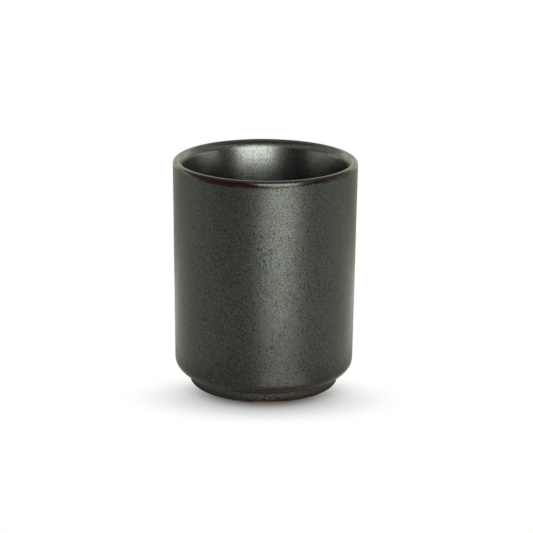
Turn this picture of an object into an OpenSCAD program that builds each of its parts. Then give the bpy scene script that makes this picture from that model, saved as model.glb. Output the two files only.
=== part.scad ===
// Tall straight sake cup: one turned stoneware body under a fused glaze.
// The coat is dark and thick on the broad faces, and thin and brown where it breaks over an edge.
// Standing face at z = 0, centred on the Z axis.

/* [Cup] */
// Outer diameter at the lip
rim_d = 56; // [46:0.5:76]
// Overall height, from the standing face to the crest of the lip
cup_h = 70; // [50:0.5:100]
// Outward lean of the outer wall, in degrees
wall_lean = 0.45; // [0:0.05:4]
// How much more the inner wall leans below its flare, in degrees, so that the wall thickens downwards
wall_taper = 0.3; // [0:0.05:2]
// Thickness of the floor between its two glazed faces
floor_t = 4; // [3:0.1:7]
// Radius of the curve between the inner wall and the floor
floor_curve_r = 7; // [3:0.5:14]

/* [Lip] */
// Thickness of the wall across the lip's two roundings, glaze included
lip_wall = 2.5; // [2:0.05:4]
// Radius of the lip's outer rounding; the inner rounding takes up the rest of the wall
lip_outer_r = 1.15; // [0.8:0.05:1.5]
// Lean of the inner wall where it leaves the lip, in degrees
lip_flare = 14; // [7:0.5:18]
// Height over which this flare curves into the straight inner wall
flare_h = 18; // [10:0.5:24]

/* [Shoulder and step] */
// Radius of the curve that turns the wall under
shoulder_r = 4.2; // [2.5:0.1:7]
// How far the shoulder turns under before the step's edge, in degrees
shoulder_turn = 72; // [60:1:80]
// Radius of the step's edge
step_edge_r = 0.6; // [0.4:0.05:1]
// Width of the step's underside, from its edge in to the foot ring
step_w = 1.35; // [1:0.05:4]

/* [Foot ring] */
// Height of the step above the standing face
foot_h = 3.65; // [3:0.05:8]
// Outward lean of the foot's outer wall, in degrees
foot_lean = 4; // [0:0.5:10]
// Radius of the hollow between the foot and the step
foot_fillet_r = 0.5; // [0.3:0.05:0.8]
// Width of the foot ring at its top, between its two glazed faces
foot_ring_w = 3.4; // [2.6:0.1:6]
// Rounding along both edges of the bare standing face
foot_edge_r = 0.3; // [0.2:0.05:0.6]
// Depth of the recess under the cup
recess_depth = 2.2; // [1.8:0.1:3.5]
// Radius of the curve around the recess
recess_curve_r = 1; // [0.4:0.1:1.2]

/* [Glaze] */
// Thickness of the coat on the broad faces
coat_t = 0.35; // [0.2:0.05:0.5]
// Thickness of the coat where it thins over an edge
break_t = 0.15; // [0.1:0.05:0.2]
// How far the brown break runs down the wall below the lip's rounding
lip_break_h = 0.55; // [0.2:0.05:3]
// How far the brown break runs up the shoulder from the step, in degrees of its curve
step_break_turn = 28; // [6:1:40]
// Height of bare clay between the edge of the standing face and the glaze line
bare_h = 0.15; // [0.1:0.05:0.5]
// Height of the brown break above the glaze line on the foot
foot_break_h = 0.9; // [0.4:0.1:1.2]

/* [Hidden] */

clay_colour = [0.55, 0.47, 0.36];
gunmetal_colour = [0.25, 0.26, 0.24];
brown_colour = [0.16, 0.09, 0.06];

// Facets around the cup, and how far a facet of an outline may lie from its true arc
turn_facets = 180;
arc_sag = 0.006;
// Points of an outline closer than this are one point
same_point = 0.001;

// An outline is a list of [radius, height] points; an arc may change its radius on the way to r_end
function at(centre, r, angle) = centre + r * [cos(angle), sin(angle)];
function arc(centre, r, from, to, r_end = undef) =
    let (
        step = 2 * acos(1 - arc_sag / r),
        steps = ceil(abs(to - from) / step),
        grow = is_undef(r_end) ? 0 : r_end - r
    )
    [for (i = [0 : steps]) at(centre, r + grow * i / steps, from + (to - from) * i / steps)];
function reversed(path) = [for (i = [len(path) - 1 : -1 : 0]) path[i]];
function joined(path) =
    [for (i = [0 : len(path) - 1]) if (i == 0 || norm(path[i] - path[i - 1]) > same_point) path[i]];

// Lip: two roundings that share the crest
lip_inner_r = lip_wall - lip_outer_r;
crest_r = rim_d / 2 - lip_outer_r;
lip_c = [crest_r, cup_h - lip_outer_r];
lip_inner_c = [crest_r, cup_h - lip_inner_r];
lip_break_z = cup_h - max(lip_outer_r, lip_inner_r) - lip_break_h;

// Flare: leaves the lip's inner rounding and curves into the straight inner wall
inner_lean = wall_lean + wall_taper;
flare_r = flare_h / (sin(lip_flare) - sin(inner_lean));
flare_c = at(lip_inner_c, flare_r - lip_inner_r, -lip_flare);
lip_break_lean = asin((lip_break_z - flare_c.y) / flare_r);

// Straight walls: a point at height z, at a depth below the glazed surface
function outer_wall(z, depth) =
    [crest_r + (lip_outer_r - depth + (z - lip_c.y) * sin(wall_lean)) / cos(wall_lean), z];
function inner_wall(z, depth) =
    let (top = at(flare_c, flare_r - depth, 180 - inner_lean))
    [top.x - (top.y - z) * tan(inner_lean), z];

// Shoulder: tangent to the outer wall above and to the step's edge below
edge_to_shoulder = shoulder_r - step_edge_r;
shoulder_z = foot_h + step_edge_r + edge_to_shoulder * sin(shoulder_turn);
shoulder_c = [
    outer_wall(shoulder_z, 0).x - shoulder_r / cos(wall_lean),
    shoulder_z
];
step_edge_c = at(shoulder_c, edge_to_shoulder, -shoulder_turn);
step_break_end = shoulder_turn - step_break_turn;

// Foot ring: set in from the step's edge, with a hollow under the step
foot_r = step_edge_c.x - step_w;
foot_fillet_c = [foot_r + foot_fillet_r * (1 - sin(foot_lean)) / cos(foot_lean), foot_h - foot_fillet_r];
function foot_wall(z, depth) = [foot_r - (depth + (foot_h - z) * sin(foot_lean)) / cos(foot_lean), z];
glaze_line_z = foot_edge_r + bare_h;
foot_break_z = glaze_line_z + foot_break_h;

// Recess under the cup, and the two edges of the standing face
recess_r = foot_r - foot_ring_w;
recess_curve_c = [recess_r - recess_curve_r, recess_depth - recess_curve_r];
inner_edge_c = [recess_r + break_t + foot_edge_r, foot_edge_r];
outer_edge_c = [foot_wall(foot_edge_r, break_t).x - foot_edge_r / cos(foot_lean), foot_edge_r];

// Inside of the cup: the floor's curve is tangent to the inner wall and to the floor
floor_z = recess_depth + floor_t;
floor_curve_z = floor_z + floor_curve_r;
floor_curve_c = [
    inner_wall(floor_curve_z, 0).x - floor_curve_r / cos(inner_lean),
    floor_curve_z
];

// Each stretch of glaze has two sides, given for the depths of the coat there:
// depth 0 is the glazed surface, and the coat's own thickness is the clay under it
function base_side(coat, thin) = concat(
    [[0, recess_depth + coat]],
    arc(recess_curve_c, recess_curve_r + coat, 90, 0),
    [[recess_r + thin, glaze_line_z]]
);
function foot_break_side(coat, thin) = [foot_wall(glaze_line_z, thin), foot_wall(foot_break_z, coat)];
function foot_side(coat) = concat(
    [foot_wall(foot_break_z, coat)],
    arc(foot_fillet_c, foot_fillet_r + coat, 180 - foot_lean, 90)
);
function step_side(coat, thin) = concat(
    [[foot_fillet_c.x, foot_h + coat]],
    arc(step_edge_c, step_edge_r - thin, -90, -shoulder_turn),
    arc(shoulder_c, shoulder_r - thin, -shoulder_turn, -step_break_end, shoulder_r - coat)
);
function wall_side(coat) = concat(
    arc(shoulder_c, shoulder_r - coat, -step_break_end, -wall_lean),
    [outer_wall(lip_break_z, coat)]
);
function lip_side(coat, thin) = concat(
    [outer_wall(lip_break_z, coat)],
    arc(lip_c, lip_outer_r - thin, -wall_lean, 90),
    arc(lip_inner_c, lip_inner_r - thin, 90, 180 - lip_flare),
    arc(flare_c, flare_r - thin, 180 - lip_flare, 180 - lip_break_lean, flare_r - coat)
);
function inner_side(coat) = concat(
    arc(flare_c, flare_r - coat, 180 - lip_break_lean, 180 - inner_lean),
    arc(floor_curve_c, floor_curve_r + coat, -inner_lean, -90),
    [[0, floor_z - coat]]
);
bare_foot_side = concat(
    arc(inner_edge_c, foot_edge_r, 180, 270),
    arc(outer_edge_c, foot_edge_r, -90, -foot_lean)
);

module turned(outline) {
    rotate_extrude($fn = turn_facets)
        polygon(joined(outline));
}

// A coat between its glazed surface and the clay
module coat(surface, clay) {
    turned(concat(surface, reversed(clay)));
}

module stoneware_body() {
    color(clay_colour)
        turned(concat(
            base_side(coat_t, break_t),
            bare_foot_side,
            foot_break_side(coat_t, break_t),
            foot_side(coat_t),
            step_side(coat_t, break_t),
            wall_side(coat_t),
            lip_side(coat_t, break_t),
            inner_side(coat_t)
        ));
}

module inner_glaze() {
    color(gunmetal_colour)
        coat(inner_side(0), inner_side(coat_t));
}

module lip_break() {
    color(brown_colour)
        coat(lip_side(0, 0), lip_side(coat_t, break_t));
}

module wall_glaze() {
    color(gunmetal_colour)
        coat(wall_side(0), wall_side(coat_t));
}

module step_break() {
    color(brown_colour)
        coat(step_side(0, 0), step_side(coat_t, break_t));
}

module foot_glaze() {
    color(gunmetal_colour)
        coat(foot_side(0), foot_side(coat_t));
}

module foot_break() {
    color(brown_colour)
        coat(foot_break_side(0, 0), foot_break_side(coat_t, break_t));
}

module base_glaze() {
    color(gunmetal_colour)
        coat(base_side(0, 0), base_side(coat_t, break_t));
}

stoneware_body();
inner_glaze();
lip_break();
wall_glaze();
step_break();
foot_glaze();
foot_break();
base_glaze();
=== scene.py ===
import math
import bmesh
import bpy
from mathutils import Matrix, Vector, noise


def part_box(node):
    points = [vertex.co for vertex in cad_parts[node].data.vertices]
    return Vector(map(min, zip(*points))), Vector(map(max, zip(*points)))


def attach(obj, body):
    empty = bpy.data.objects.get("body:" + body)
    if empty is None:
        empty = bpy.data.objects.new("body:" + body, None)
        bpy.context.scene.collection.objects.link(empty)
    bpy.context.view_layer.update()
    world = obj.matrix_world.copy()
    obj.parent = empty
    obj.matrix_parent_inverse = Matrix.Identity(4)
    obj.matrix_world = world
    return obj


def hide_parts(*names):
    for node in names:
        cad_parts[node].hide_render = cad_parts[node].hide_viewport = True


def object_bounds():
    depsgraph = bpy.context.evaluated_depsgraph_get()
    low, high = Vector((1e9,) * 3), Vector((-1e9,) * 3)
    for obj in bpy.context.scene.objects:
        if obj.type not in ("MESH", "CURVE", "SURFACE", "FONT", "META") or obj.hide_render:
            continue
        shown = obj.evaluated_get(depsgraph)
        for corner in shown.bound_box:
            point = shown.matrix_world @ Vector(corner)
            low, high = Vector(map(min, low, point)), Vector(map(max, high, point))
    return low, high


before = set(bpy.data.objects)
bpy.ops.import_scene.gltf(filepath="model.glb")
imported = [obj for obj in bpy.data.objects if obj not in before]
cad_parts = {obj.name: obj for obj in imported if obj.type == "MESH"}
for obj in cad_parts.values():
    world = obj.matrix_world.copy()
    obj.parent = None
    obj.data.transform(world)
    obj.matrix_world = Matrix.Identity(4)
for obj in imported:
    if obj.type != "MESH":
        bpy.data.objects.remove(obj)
cadLow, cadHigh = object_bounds()
mm = 0.001
print("frame:", ", ".join(sorted(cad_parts)))


def lowOf(node):
    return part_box(node)[0].z


def highOf(node):
    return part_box(node)[1].z


def addObject(name, data):
    added = bpy.data.objects.new(name, data)
    bpy.context.scene.collection.objects.link(added)
    return added


def towards(start, aim):
    return (aim - start).to_track_quat("-Z", "Y")


# the turned form that all the coats share
cup = {
    "rimRadius": cadHigh.x,
    "height": cadHigh.z,
    "wallLean": 0.45,           # degrees, outside
    "innerLean": 0.15,          # degrees, inside
    "coat": 0.35 * mm,          # glaze on the broad faces
    "thin": 0.15 * mm,          # glaze where it breaks over an edge
    "turnFaces": 288,           # faces around the cup
    "arcStep": 4.0,             # degrees of a rounding to one face
    "arcFewest": 6,             # but never fewer faces than this
    "wallStep": 1.8 * mm,       # longest face on a straight stretch
    "merge": 0.002 * mm,        # points nearer than this become one
    "sharp": 40,                # degrees from which an edge stays crisp
    "unevenness": 0.03 * mm,    # how far the fired surface wanders from the turned one
    "waveLength": 10 * mm,
    "seed": 7,                  # draws the same unevenness each run
}
noise.seed_set(cup["seed"])
wallLean = math.radians(cup["wallLean"])
innerLean = math.radians(cup["innerLean"])


# outlines are drawn in the XZ plane, as [radius, height]
def onArc(centre, radius, angle):
    return centre[0] + radius * math.cos(angle), centre[1] + radius * math.sin(angle)


def lineTo(bm, tip, point):
    if tip is None:
        return bm.verts.new((point[0], 0, point[1]))
    new = bmesh.ops.extrude_vert_indiv(bm, verts=[tip])["verts"][0]
    new.co = (point[0], 0, point[1])
    return new


def arcTo(bm, tip, centre, radius, start, end):
    first = lineTo(bm, tip, onArc(centre, radius, math.radians(start)))
    steps = max(cup["arcFewest"], math.ceil(abs(end - start) / cup["arcStep"]))
    swept = bmesh.ops.spin(bm, geom=[first], cent=(centre[0], 0, centre[1]), axis=(0, -1, 0),
                           angle=math.radians(end - start), steps=steps)
    last = [part for part in swept["geom_last"] if isinstance(part, bmesh.types.BMVert)][0]
    return first, last


def turnCoat(name, node, side, ragged=None):
    bm = bmesh.new()
    surface = side(bm, 0, 0)
    under = side(bm, cup["coat"], cup["thin"])
    for top, bottom in zip(surface, under):
        if top.co.x > 0:  # a coat that reaches the axis has no end face there
            bm.edges.new((top, bottom))
    bmesh.ops.remove_doubles(bm, verts=bm.verts, dist=cup["merge"])
    for edge in bm.edges[:]:
        cuts = math.ceil(edge.calc_length() / cup["wallStep"]) - 1
        if cuts > 0:
            bmesh.ops.subdivide_edges(bm, edges=[edge], cuts=cuts)
    bmesh.ops.spin(bm, geom=bm.verts[:] + bm.edges[:], cent=(0, 0, 0), axis=(0, 0, 1),
                   angle=math.tau, steps=cup["turnFaces"], use_merge=True)
    bmesh.ops.remove_doubles(bm, verts=bm.verts, dist=cup["merge"])
    bmesh.ops.recalc_face_normals(bm, faces=bm.faces)
    for vert in bm.verts:
        if ragged:
            ragged(vert)
        vert.co += cup["unevenness"] * noise.noise_vector(vert.co / cup["waveLength"])
    for face in bm.faces:
        face.smooth = True
    for edge in bm.edges:
        edge.smooth = edge.calc_face_angle(0) < math.radians(cup["sharp"])
    mesh = bpy.data.meshes.new(name)
    bm.to_mesh(mesh)
    bm.free()
    piece = addObject(name, mesh)
    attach(piece, "root")
    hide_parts(node)
    print("coat:", name, len(mesh.polygons), "faces")
    return piece


# lip: two roundings that share the crest; the inner one eases into the flare
lip = {
    "outerRound": 1.15 * mm,
    "innerRound": 1.0 * mm,
    "ease": 4.3 * mm,           # radius of the easing
    "easeFrom": 50,             # degrees of the inside's lean where it begins
    "flare": 14,                # and where it ends in the flare
    "flareHigh": 16 * mm,       # height over which that lean goes
    "breakLow": lowOf("lip_break"),
}
crest = cup["rimRadius"] - lip["outerRound"]
lipOuter = (crest, cup["height"] - lip["outerRound"])
lipInner = (crest, cup["height"] - lip["innerRound"])
easeLean = math.radians(lip["easeFrom"])
flareLean = math.radians(lip["flare"])
flareRound = lip["flareHigh"] / (math.sin(flareLean) - math.sin(innerLean))
easeCentre = onArc(lipInner, lip["ease"] - lip["innerRound"], -easeLean)
flareCentre = onArc(easeCentre, flareRound - lip["ease"], -flareLean)
breakLean = math.asin((lip["breakLow"] - easeCentre[1]) / lip["ease"])
breakEnd = 180 - math.degrees(breakLean)


def outerWall(z, depth):
    reach = lip["outerRound"] - depth + (z - lipOuter[1]) * math.sin(wallLean)
    return crest + reach / math.cos(wallLean), z


def innerWall(z, depth):
    r, top = onArc(flareCentre, flareRound - depth, math.pi - innerLean)
    return r - (top - z) * math.tan(innerLean), z


def lipSide(bm, coat, thin):
    first = lineTo(bm, None, outerWall(lip["breakLow"], coat))
    tip = arcTo(bm, first, lipOuter, lip["outerRound"] - thin, -cup["wallLean"], 90)[1]
    tip = arcTo(bm, tip, lipInner, lip["innerRound"] - thin, 90, 180 - lip["easeFrom"])[1]
    tip = arcTo(bm, tip, easeCentre, lip["ease"] - thin, 180 - lip["easeFrom"], breakEnd)[1]
    return first, lineTo(bm, tip, onArc(easeCentre, lip["ease"] - coat, math.pi - breakLean))


lipBreak = turnCoat("lipBreak", "lip_break", lipSide)

# inside: wall, curve and floor
inside = {
    "floor": lowOf("inner_glaze") + cup["coat"],
    "floorCurve": 7 * mm,
}
floorCurveZ = inside["floor"] + inside["floorCurve"]
floorCurve = (
    innerWall(floorCurveZ, 0)[0] - inside["floorCurve"] / math.cos(innerLean),
    floorCurveZ,
)


def insideSide(bm, coat, thin):
    flareTop = 180 - lip["flare"]
    first, tip = arcTo(bm, None, easeCentre, lip["ease"] - coat, breakEnd, flareTop)
    tip = arcTo(bm, tip, flareCentre, flareRound - coat, flareTop, 180 - cup["innerLean"])[1]
    tip = arcTo(bm, tip, floorCurve, inside["floorCurve"] + coat, -cup["innerLean"], -90)[1]
    return first, lineTo(bm, tip, (0, inside["floor"] - coat))


innerGlaze = turnCoat("innerGlaze", "inner_glaze", insideSide)

# wall, shoulder and step
step = {
    "ledge": lowOf("step_break"),
    "shoulderRound": 4.2 * mm,
    "shoulderTurn": 72,         # degrees that the shoulder turns under
    "edgeRound": 0.6 * mm,
    "breakTurn": 28,            # degrees of the shoulder that the brown break covers
    "width": 1.35 * mm,
}
shoulderTurn = math.radians(step["shoulderTurn"])
edgeReach = step["shoulderRound"] - step["edgeRound"]
shoulderZ = step["ledge"] + step["edgeRound"] + edgeReach * math.sin(shoulderTurn)
shoulder = (
    outerWall(shoulderZ, 0)[0] - step["shoulderRound"] / math.cos(wallLean),
    shoulderZ,
)
stepEdge = (
    shoulder[0] + edgeReach * math.cos(shoulderTurn),
    step["ledge"] + step["edgeRound"],
)
breakTop = step["breakTurn"] - step["shoulderTurn"]


def wallSide(bm, coat, thin):
    first, tip = arcTo(bm, None, shoulder, step["shoulderRound"] - coat, breakTop, -cup["wallLean"])
    return first, lineTo(bm, tip, outerWall(lip["breakLow"], coat))


wallGlaze = turnCoat("wallGlaze", "wall_glaze", wallSide)

# foot ring
foot = {
    "lean": 4,                  # degrees
    "fillet": 0.5 * mm,
    "ringWidth": 3.4 * mm,
    "recess": 2.2 * mm,
    "recessRound": 1.0 * mm,
    "glazeLine": lowOf("foot_break"),
    "breakHigh": highOf("foot_break"),
    "rag": 0.16 * mm,           # how far the glaze line wanders
    "ragReach": 0.6 * mm,       # height above the line where that has died away
    "ragWaves": 18,             # how often it wanders
    "fineWaves": 2.7,           # its small waves are this much closer
    "fineRag": 0.5,             # and this much of its height
}
footLean = math.radians(foot["lean"])
footTop = stepEdge[0] - step["width"]
filletCentre = (
    footTop + foot["fillet"] * (1 - math.sin(footLean)) / math.cos(footLean),
    step["ledge"] - foot["fillet"],
)
recessRadius = footTop - foot["ringWidth"]
recessCurve = (recessRadius - foot["recessRound"], foot["recess"] - foot["recessRound"])


def footWall(z, depth):
    return footTop - (depth + (step["ledge"] - z) * math.sin(footLean)) / math.cos(footLean), z


def stepSide(bm, coat, thin):
    first = lineTo(bm, None, (filletCentre[0], step["ledge"] + coat))
    tip = arcTo(bm, first, stepEdge, step["edgeRound"] - thin, -90, -step["shoulderTurn"])[1]
    tip = arcTo(bm, tip, shoulder, step["shoulderRound"] - thin, -step["shoulderTurn"], breakTop)[1]
    return first, lineTo(bm, tip, onArc(shoulder, step["shoulderRound"] - coat, math.radians(breakTop)))


def footSide(bm, coat, thin):
    first = lineTo(bm, None, footWall(foot["breakHigh"], coat))
    return first, arcTo(bm, first, filletCentre, foot["fillet"] + coat, 180 - foot["lean"], 90)[1]


def footBreakSide(bm, coat, thin):
    first = lineTo(bm, None, footWall(foot["glazeLine"], thin))
    return first, lineTo(bm, first, footWall(foot["breakHigh"], coat))


def baseSide(bm, coat, thin):
    first = lineTo(bm, None, (recessRadius + thin, foot["glazeLine"]))
    tip = arcTo(bm, first, recessCurve, foot["recessRound"] + coat, 0, 90)[1]
    return first, lineTo(bm, tip, (0, foot["recess"] + coat))


def wanderGlazeLine(vert):
    weight = 1 - (vert.co.z - foot["glazeLine"]) / foot["ragReach"]
    if weight > 0:
        place = vert.co.normalized() * foot["ragWaves"]
        fine = foot["fineRag"] * noise.noise(place * foot["fineWaves"])
        vert.co.z += weight * foot["rag"] * (noise.noise(place) + fine)


stepBreak = turnCoat("stepBreak", "step_break", stepSide)
footGlaze = turnCoat("footGlaze", "foot_glaze", footSide)
footBreak = turnCoat("footBreak", "foot_break", footBreakSide, wanderGlazeLine)
baseGlaze = turnCoat("baseGlaze", "base_glaze", baseSide, wanderGlazeLine)

noiseMiddle = 0.5               # noise goes from 0 to 1


# node helpers
def newMaterial(name):
    material = bpy.data.materials.new(name)
    material.use_nodes = True
    tree = material.node_tree
    tree.nodes.clear()
    output = tree.nodes.new("ShaderNodeOutputMaterial")
    return material, tree, output


def plug(tree, source, target):
    if isinstance(source, bpy.types.NodeSocket):
        tree.links.new(source, target)
    else:
        target.default_value = source


def calc(tree, operation, first, second=0.0):
    node = tree.nodes.new("ShaderNodeMath")
    node.operation = operation
    plug(tree, first, node.inputs[0])
    plug(tree, second, node.inputs[1])
    return node.outputs[0]


def rampTo(tree, value, low, high, toLow=0.0, toHigh=1.0):
    node = tree.nodes.new("ShaderNodeMapRange")
    node.interpolation_type = "SMOOTHSTEP"
    for socket, number in zip(node.inputs[:5], (value, low, high, toLow, toHigh)):
        plug(tree, number, socket)
    return node.outputs[0]


def noiseOf(tree, place, pattern):
    node = tree.nodes.new("ShaderNodeTexNoise")
    plug(tree, place, node.inputs["Vector"])
    for socket, number in zip(("Scale", "Detail", "Roughness"), pattern):
        node.inputs[socket].default_value = number
    return node.outputs["Fac"]


def swayOf(tree, value, size):
    return calc(tree, "MULTIPLY", calc(tree, "SUBTRACT", value, noiseMiddle), size)


def mixColour(tree, factor, first, second):
    node = tree.nodes.new("ShaderNodeMix")
    node.data_type = "RGBA"
    plug(tree, factor, node.inputs[0])
    for socket, colour in ((node.inputs[6], first), (node.inputs[7], second)):
        plug(tree, colour if isinstance(colour, bpy.types.NodeSocket) else (*colour, 1), socket)
    return node.outputs[2]


def mixNumber(tree, factor, first, second):
    node = tree.nodes.new("ShaderNodeMix")
    plug(tree, factor, node.inputs[0])
    plug(tree, first, node.inputs[2])
    plug(tree, second, node.inputs[3])
    return node.outputs[0]


def placeInMm(tree):
    coords = tree.nodes.new("ShaderNodeTexCoord")
    mapping = tree.nodes.new("ShaderNodeMapping")
    mapping.inputs["Scale"].default_value = (1 / mm, 1 / mm, 1 / mm)
    tree.links.new(coords.outputs["Object"], mapping.inputs["Vector"])
    apart = tree.nodes.new("ShaderNodeSeparateXYZ")
    tree.links.new(mapping.outputs[0], apart.inputs[0])
    return mapping.outputs[0], apart.outputs


def bumpFrom(tree, height, distance, strength):
    node = tree.nodes.new("ShaderNodeBump")
    node.inputs["Strength"].default_value = strength
    node.inputs["Distance"].default_value = distance
    tree.links.new(height, node.inputs["Height"])
    return node.outputs[0]


def angleFromFront(tree, x, y):
    return calc(tree, "ARCTAN2", x, calc(tree, "MULTIPLY", y, -1))


# the most in a broad stretch around the cup and the least past its end;
# where its middle is, its half-width and its end are degrees from the front
def around(tree, angle, stretch):
    away = calc(tree, "ABSOLUTE", calc(tree, "SUBTRACT", angle, math.radians(stretch["at"])))
    end, broad = math.radians(stretch["end"]), math.radians(stretch["broad"])
    return rampTo(tree, away, end, broad, stretch["least"], stretch["most"])


# glaze: gunmetal where it lies thick, brown where it breaks over an edge;
# a noise is its marks to the millimetre, its detail and its roughness;
# a fade is where something begins and where it is full, then its strengths there if not 0 and 1
glaze = {
    "gunmetal": (0.0362, 0.0392, 0.0342),
    "cloud": (0.0356, 0.0361, 0.0296),  # warmer patches
    "cloudNoise": (0.28, 4.0, 0.6),
    "cloudFade": (0.42, 0.68),          # of the noise
    "cloudRough": 0.1,                  # how far the clouds sway the roughness
    "speck": (0.0075, 0.0078, 0.0064),
    "speckNoise": (3.4, 2.0, 0.6),
    "speckFade": (0.46, 0.63),          # of the noise
    "speckDepth": 0.1,                  # how deep the specks lie in the bump
    "insideSheen": (0.080, 0.085, 0.075),    # painted sheen: a brighter copy of the gunmetal inside the cup, which brightens the lamps' reflection there
    "insideSheenEdge": 0.6,                  # mm inside the crest where it is full
    "insideSheenFade": (4, 5),               # mm above the standing face
    "insideSheenSpecks": 0.65,               # strength of the specks there
    "footSheen": (0.064, 0.068, 0.058),  # painted light: a brighter copy of the gunmetal below the step, so the foot looks more brightly lit
    "footSheenFade": (0.1, -0.2),        # mm above the step's ledge
    "edge": (0.82, 0.83, 0.73),         # tint of the reflection along the outline
    "brown": (0.0045, 0.0014, 0.0008),
    "rust": (0.017, 0.0085, 0.0052),    # brown near the foot
    "rustNoise": (0.9, 4.0, 0.65),
    "rustFade": (0.35, 0.65, 0.3, 1.0),
    "rustHeight": (20, 12),             # mm above the standing face
    "farLitBrown": (0.027, 0.019, 0.014),  # painted light: a metallic copy of the brown for the far side of the lip, with a softer tinted reflection in place of the brown's glint
    "farLitFade": (0.05, 0.7, 0.25, 1.0),  # mm below the crest
    "stepFade": (0.08, 0.25),           # mm above the step's ledge, where its brown begins
    "satin": 0.38,                      # roughness of the gunmetal
    "inside": 0.31,                     # and inside the cup
    "lipSatin": 0.23,                   # and over the lip
    "lipSatinFade": (1.3, 0.9),         # mm below the crest
    "gloss": 0.2,                       # roughness of the brown
    "glint": 0.07,                      # its specular level
    "rag": 1.5,                         # mm that a break's edge wanders
    "ragNoise": (0.8, 5.0, 0.7),
    "grain": 2.4,                       # mm that its grains stray from the edge
    "grainNoise": (2.7, 2.0, 0.6),
    "swellNoise": (0.8, 3.0, 0.5),
    "bump": 0.03 * mm,
    "bumpStrength": 0.8,
}
# each break covers the least mm at the sides and the most mm in its broad stretch;
# its edge takes this share of the rag and fades over so many mm
breaks = {
    "lipLeft": {"least": -0.4, "most": 2.1, "at": -14, "broad": 18, "end": 58, "rag": 1.0, "soft": 0.16},
    "lipRight": {"least": -0.4, "most": 1.6, "at": 36, "broad": 20, "end": 36, "rag": 1.0, "soft": 0.16},
    "lipBehind": {"least": -0.2, "most": 1.3, "at": 180, "broad": 14, "end": 60, "rag": 1.0, "soft": 0.4},
    # painted glint: the next break leaves the brown off along the crest and most at the front of the lip,
    # where the lamps' reflection falls, so the gunmetal there shows a bright glint
    "lipGlintGap": {"least": 0.22, "most": 1.5, "at": 10, "broad": 6, "end": 26, "rag": 0.4, "soft": 0.3},
    "step": {"least": 0.1, "most": 2.5, "at": 34, "broad": 30, "end": 80, "rag": 0.4, "soft": 0.16},
    "foot": {"least": 0.7, "most": 1.5, "at": 14, "broad": 12, "end": 40, "rag": 1.5, "soft": 0.16},
}


def breakMask(tree, angle, distance, rag, name):
    edge = breaks[name]
    ragged = calc(tree, "ADD", distance, calc(tree, "MULTIPLY", rag, edge["rag"]))
    past = calc(tree, "SUBTRACT", ragged, around(tree, angle, edge))
    return rampTo(tree, past, edge["soft"], -edge["soft"])


# each break is measured up or down from its own edge
def brownMasks(tree, place, front, z, underCrest, overLedge):
    rag = calc(tree, "ADD", swayOf(tree, noiseOf(tree, place, glaze["ragNoise"]), glaze["rag"]),
               swayOf(tree, noiseOf(tree, place, glaze["grainNoise"]), glaze["grain"]))
    lipMask = calc(tree, "MAXIMUM", breakMask(tree, front, underCrest, rag, "lipLeft"),
                   breakMask(tree, front, underCrest, rag, "lipRight"))
    # painted glint: the brown is lifted where the lamps' reflection falls on the lip
    glintGapMask = breakMask(tree, front, underCrest, rag, "lipGlintGap")
    lipMask = calc(tree, "MULTIPLY", lipMask, calc(tree, "SUBTRACT", 1, glintGapMask))
    behind = calc(tree, "ABSOLUTE", front)
    farMask = breakMask(tree, behind, underCrest, rag, "lipBehind")
    farMask = calc(tree, "MULTIPLY", farMask, rampTo(tree, underCrest, *glaze["farLitFade"]))
    stepMask = breakMask(tree, front, overLedge, rag, "step")
    stepMask = calc(tree, "MULTIPLY", stepMask, rampTo(tree, overLedge, *glaze["stepFade"]))
    footMask = breakMask(tree, front, z, rag, "foot")
    return calc(tree, "MAXIMUM", lipMask, calc(tree, "MAXIMUM", stepMask, footMask)), farMask


def insideMask(tree, x, y, z):
    squares = calc(tree, "ADD", calc(tree, "MULTIPLY", x, x), calc(tree, "MULTIPLY", y, y))
    radius = calc(tree, "SQRT", squares)
    within = rampTo(tree, radius, crest / mm, crest / mm - glaze["insideSheenEdge"])
    return calc(tree, "MULTIPLY", within, rampTo(tree, z, *glaze["insideSheenFade"]))


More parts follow.
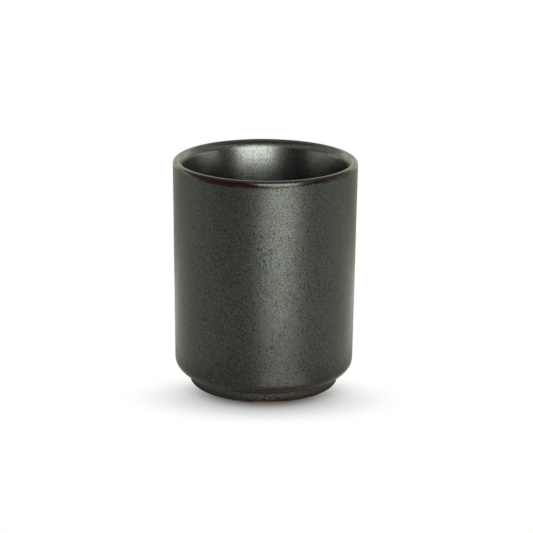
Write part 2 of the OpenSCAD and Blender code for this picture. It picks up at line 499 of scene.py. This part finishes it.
def makeGlaze():
    material, tree, output = newMaterial("breakingGlaze")
    place, (x, y, z) = placeInMm(tree)
    front = angleFromFront(tree, x, y)
    underCrest = calc(tree, "SUBTRACT", cup["height"] / mm, z)
    overLedge = calc(tree, "SUBTRACT", z, step["ledge"] / mm)
    brownMask, farMask = brownMasks(tree, place, front, z, underCrest, overLedge)
    within = insideMask(tree, x, y, z)
    # specks and clouds of the satin glaze
    specks = rampTo(tree, noiseOf(tree, place, glaze["speckNoise"]), *glaze["speckFade"])
    clouds = noiseOf(tree, place, glaze["cloudNoise"])
    cloudy = rampTo(tree, clouds, *glaze["cloudFade"])
    belowStep = rampTo(tree, overLedge, *glaze["footSheenFade"])
    satinColour = mixColour(tree, cloudy, glaze["gunmetal"], glaze["cloud"])
    # painted sheen: inside the cup the gunmetal gives way to its brighter copy
    satinColour = mixColour(tree, within, satinColour, glaze["insideSheen"])
    # painted light: below the step the gunmetal gives way to its brighter copy
    satinColour = mixColour(tree, belowStep, satinColour, glaze["footSheen"])
    shownSpecks = calc(tree, "MULTIPLY", specks, mixNumber(tree, within, 1.0, glaze["insideSheenSpecks"]))
    satinColour = mixColour(tree, shownSpecks, satinColour, glaze["speck"])
    # painted light: the far side of the lip takes its own copy of the brown
    satinColour = mixColour(tree, farMask, satinColour, glaze["farLitBrown"])
    satinRough = calc(tree, "ADD", mixNumber(tree, within, glaze["satin"], glaze["inside"]),
                      swayOf(tree, clouds, glaze["cloudRough"]))
    overLip = rampTo(tree, underCrest, *glaze["lipSatinFade"])
    satinRough = mixNumber(tree, overLip, satinRough, glaze["lipSatin"])
    # the brown turns to rust near the foot
    rusty = rampTo(tree, noiseOf(tree, place, glaze["rustNoise"]), *glaze["rustFade"])
    rusty = calc(tree, "MULTIPLY", rusty, rampTo(tree, z, *glaze["rustHeight"]))
    brownColour = mixColour(tree, rusty, glaze["brown"], glaze["rust"])
    height = calc(tree, "SUBTRACT", noiseOf(tree, place, glaze["swellNoise"]),
                  calc(tree, "MULTIPLY", specks, glaze["speckDepth"]))
    bump = bumpFrom(tree, height, glaze["bump"], glaze["bumpStrength"])
    shader = tree.nodes.new("ShaderNodeBsdfPrincipled")
    shader.inputs["Specular IOR Level"].default_value = glaze["glint"]
    shader.inputs["Specular Tint"].default_value = (*glaze["edge"], 1)
    # the gunmetal reflects as a metal does, the brown as a clear glass over dark clay
    plug(tree, calc(tree, "SUBTRACT", 1, brownMask), shader.inputs["Metallic"])
    plug(tree, mixColour(tree, brownMask, satinColour, brownColour), shader.inputs["Base Color"])
    plug(tree, mixNumber(tree, brownMask, satinRough, glaze["gloss"]), shader.inputs["Roughness"])
    plug(tree, bump, shader.inputs["Normal"])
    tree.links.new(shader.outputs[0], output.inputs["Surface"])
    return material


breakingGlaze = makeGlaze()
glazePieces = [lipBreak, innerGlaze, wallGlaze, stepBreak, footGlaze, footBreak, baseGlaze]
for piece in glazePieces:
    piece.data.materials.append(breakingGlaze)
print("material: breakingGlaze")

# bare clay of the standing ring
clay = {
    "fired": (0.30, 0.21, 0.12),
    # a darker clay colour above the standing face
    "darkClay": (0.010, 0.006, 0.004),
    "iron": (0.05, 0.03, 0.02),
    "grainNoise": (3.0, 4.0, 0.7),      # marks to the millimetre, detail and roughness
    "ironNoise": (2.2, 1.0, 0.5),
    "ironFade": (0.64, 0.7),            # of the noise
    "darkFade": (-0.06, 0.12),         # mm above the standing face
    "darkSway": 0.5,                   # mm that the grain moves it
    # the clay is less dark at the front
    "darkAround": {"least": 1.0, "most": 0.75, "at": 3, "broad": 5, "end": 14},
    "roughness": (0.2, 0.8, 0.75, 0.95),
    "bump": 0.06 * mm,
    "bumpStrength": 0.7,
}


def makeClay():
    material, tree, output = newMaterial("bareClay")
    place, (x, y, z) = placeInMm(tree)
    grain = noiseOf(tree, place, clay["grainNoise"])
    iron = rampTo(tree, noiseOf(tree, place, clay["ironNoise"]), *clay["ironFade"])
    # the clay turns darker above the standing face, less so at the front
    darkHeight = calc(tree, "ADD", z, swayOf(tree, grain, clay["darkSway"]))
    darkening = rampTo(tree, darkHeight, *clay["darkFade"])
    darkening = calc(tree, "MULTIPLY", darkening, around(tree, angleFromFront(tree, x, y), clay["darkAround"]))
    colour = mixColour(tree, darkening, clay["fired"], clay["darkClay"])
    shader = tree.nodes.new("ShaderNodeBsdfPrincipled")
    plug(tree, mixColour(tree, iron, colour, clay["iron"]), shader.inputs["Base Color"])
    plug(tree, rampTo(tree, grain, *clay["roughness"]), shader.inputs["Roughness"])
    plug(tree, bumpFrom(tree, grain, clay["bump"], clay["bumpStrength"]), shader.inputs["Normal"])
    tree.links.new(shader.outputs[0], output.inputs["Surface"])
    return material


bareClay = makeClay()
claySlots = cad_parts["stoneware_body"].data.materials
claySlots.clear()
claySlots.append(bareClay)
print("material: bareClay")

# floor: pale, white beyond the cup's shadow
floor = {
    "colour": (0.86, 0.86, 0.86),
    "halfSize": 3.0,
    "shadow": (4.5 * mm, 23 * mm),      # the shadow fades to white between these
    "shadowAhead": 18.5 * mm,           # its middle lies this far before the cup's
    "shadowWide": 2.0,                  # and it is wider than deep
    "mirrored": (23 * mm, 29 * mm),     # the same as the cup mirrors it
    "mirroredAside": 0.6 * mm,          # its middle lies this far to the left
}


def whiteness(tree, ray, reach, aside=0, ahead=0, wide=1):
    coords = tree.nodes.new("ShaderNodeTexCoord")
    mapping = tree.nodes.new("ShaderNodeMapping")
    mapping.inputs["Location"].default_value = (aside, ahead, 0)
    mapping.inputs["Scale"].default_value = (1 / wide, 1, 1)
    tree.links.new(coords.outputs["Object"], mapping.inputs["Vector"])
    length = tree.nodes.new("ShaderNodeVectorMath")
    length.operation = "LENGTH"
    tree.links.new(mapping.outputs[0], length.inputs[0])
    return calc(tree, "MULTIPLY", rampTo(tree, length.outputs["Value"], *reach), ray)


def makeFloorPaint():
    material, tree, output = newMaterial("paleFloor")
    rays = tree.nodes.new("ShaderNodeLightPath").outputs
    seen = whiteness(tree, rays["Is Camera Ray"], floor["shadow"],
                     ahead=floor["shadowAhead"], wide=floor["shadowWide"])
    mirrored = whiteness(tree, rays["Is Glossy Ray"], floor["mirrored"], aside=floor["mirroredAside"])
    paint = tree.nodes.new("ShaderNodeBsdfDiffuse")
    paint.inputs["Color"].default_value = (*floor["colour"], 1)
    white = tree.nodes.new("ShaderNodeEmission")
    mix = tree.nodes.new("ShaderNodeMixShader")
    plug(tree, calc(tree, "MAXIMUM", seen, mirrored), mix.inputs[0])
    tree.links.new(paint.outputs[0], mix.inputs[1])
    tree.links.new(white.outputs[0], mix.inputs[2])
    tree.links.new(mix.outputs[0], output.inputs["Surface"])
    return material


def makeFloor():
    bm = bmesh.new()
    bmesh.ops.create_grid(bm, x_segments=1, y_segments=1, size=floor["halfSize"])
    mesh = bpy.data.meshes.new("floor")
    bm.to_mesh(mesh)
    bm.free()
    mesh.materials.append(makeFloorPaint())
    addObject("floor", mesh)


makeFloor()
print("floor")

# lamps: flat panels turned to the cup, and cards that lie around it;
# they stand so many metres away, and glow is what a mirror would show
lamps = {
    "key": {"azimuth": 14.6, "away": 0.62, "height": 0.275, "width": 0.6, "tall": 0.38, "glow": 13},
    "low": {"azimuth": 20, "away": 0.62, "height": 0.045, "width": 0.26, "tall": 0.09, "glow": 14},
    "card": {"azimuth": 19, "away": 0.31, "height": 0.002, "width": 0.155, "tall": 0.28, "glow": 13},
    "nearCard": {"azimuth": 15, "away": 0.115, "height": 0.002, "width": 0.065, "tall": 0.08, "glow": 4.8},
    "closeCard": {"azimuth": 18, "away": 0.046, "height": 0.002, "width": 0.026, "tall": 0.028, "glow": 2.3},
    "right": {"azimuth": 92, "away": 0.62, "height": 0.12, "width": 0.4, "tall": 0.24, "glow": 4.3},
    "left": {"azimuth": -92, "away": 0.62, "height": 0.12, "width": 0.6, "tall": 0.24, "glow": 3.0},
    "rightCard": {"azimuth": 84, "away": 0.17, "height": 0.002, "width": 0.22, "tall": 0.26, "glow": 1.0},
    "leftCard": {"azimuth": -88, "away": 0.17, "height": 0.002, "width": 0.2, "tall": 0.26, "glow": 0.8},
    "rightBack": {"azimuth": 130, "away": 0.62, "height": 0.17, "width": 0.45, "tall": 0.34, "glow": 1.5},
    "leftBack": {"azimuth": -130, "away": 0.62, "height": 0.17, "width": 0.45, "tall": 0.34, "glow": 1.5},
    "back": {"azimuth": 180, "away": 0.9, "height": 0.35, "width": 1.4, "tall": 0.7, "glow": 1.35},
    "top": {"azimuth": 180, "away": 0.1, "height": 0.8, "width": 2.8, "tall": 2.8, "glow": 1.1},
}
lyingLamps = ("card", "nearCard", "closeCard", "rightCard", "leftCard")
floorLamps = ("top", "back")    # the others light the cup alone, so the floor keeps one soft shadow
world = {"grey": 0.05}


def makeLamp(name, lamp, aim):
    light = bpy.data.lights.new(name, "AREA")
    light.shape = "RECTANGLE"
    light.size = lamp["width"]
    light.size_y = lamp["tall"]
    light.energy = lamp["glow"] * math.pi * lamp["width"] * lamp["tall"]
    holder = addObject(name, light)
    angle = math.radians(lamp["azimuth"])
    holder.location = (lamp["away"] * math.sin(angle), -lamp["away"] * math.cos(angle), lamp["height"])
    if name in lyingLamps:
        holder.rotation_euler = (math.pi, 0, angle)
    else:
        holder.rotation_euler = towards(holder.location, aim).to_euler()
    holder.visible_camera = False
    return holder


def makeLamps():
    cupPieces = bpy.data.collections.new("cupPieces")
    for piece in glazePieces + list(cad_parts.values()):
        cupPieces.objects.link(piece)
    for name, lamp in lamps.items():
        holder = makeLamp(name, lamp, Vector((0, 0, cup["height"] / 2)))
        if name not in floorLamps:
            holder.light_linking.receiver_collection = cupPieces
    sky = bpy.data.worlds.new("studio")
    sky.use_nodes = True
    sky.node_tree.nodes["Background"].inputs["Color"].default_value = (*[world["grey"]] * 3, 1)
    bpy.context.scene.world = sky


makeLamps()
print("lamps:", ", ".join(lamps))

# camera at the photograph's viewing angle
view = {
    "elevation": 16.914,        # degrees
    "distance": 0.5876,
    "aim": (0.6 * mm, 0, 36.09 * mm),
    "roll": 0.519,              # degrees
    "lens": 129.2,              # mm, as the sensor is
    "sensor": 36,
    "nearest": 0.01,
}


def makeCamera():
    camera = bpy.data.cameras.new("camera")
    camera.lens = view["lens"]
    camera.sensor_width = view["sensor"]
    camera.clip_start = view["nearest"]
    holder = addObject("camera", camera)
    tilt = math.radians(view["elevation"])
    aim = Vector(view["aim"])
    holder.location = aim + view["distance"] * Vector((0, -math.cos(tilt), math.sin(tilt)))
    turn = towards(holder.location, aim).to_matrix()
    holder.rotation_euler = (turn @ Matrix.Rotation(math.radians(view["roll"]), 3, "Z")).to_euler()
    bpy.context.scene.camera = holder
    bpy.context.scene.view_settings.view_transform = "Standard"


makeCamera()
print("camera")

bpy.context.view_layer.update()
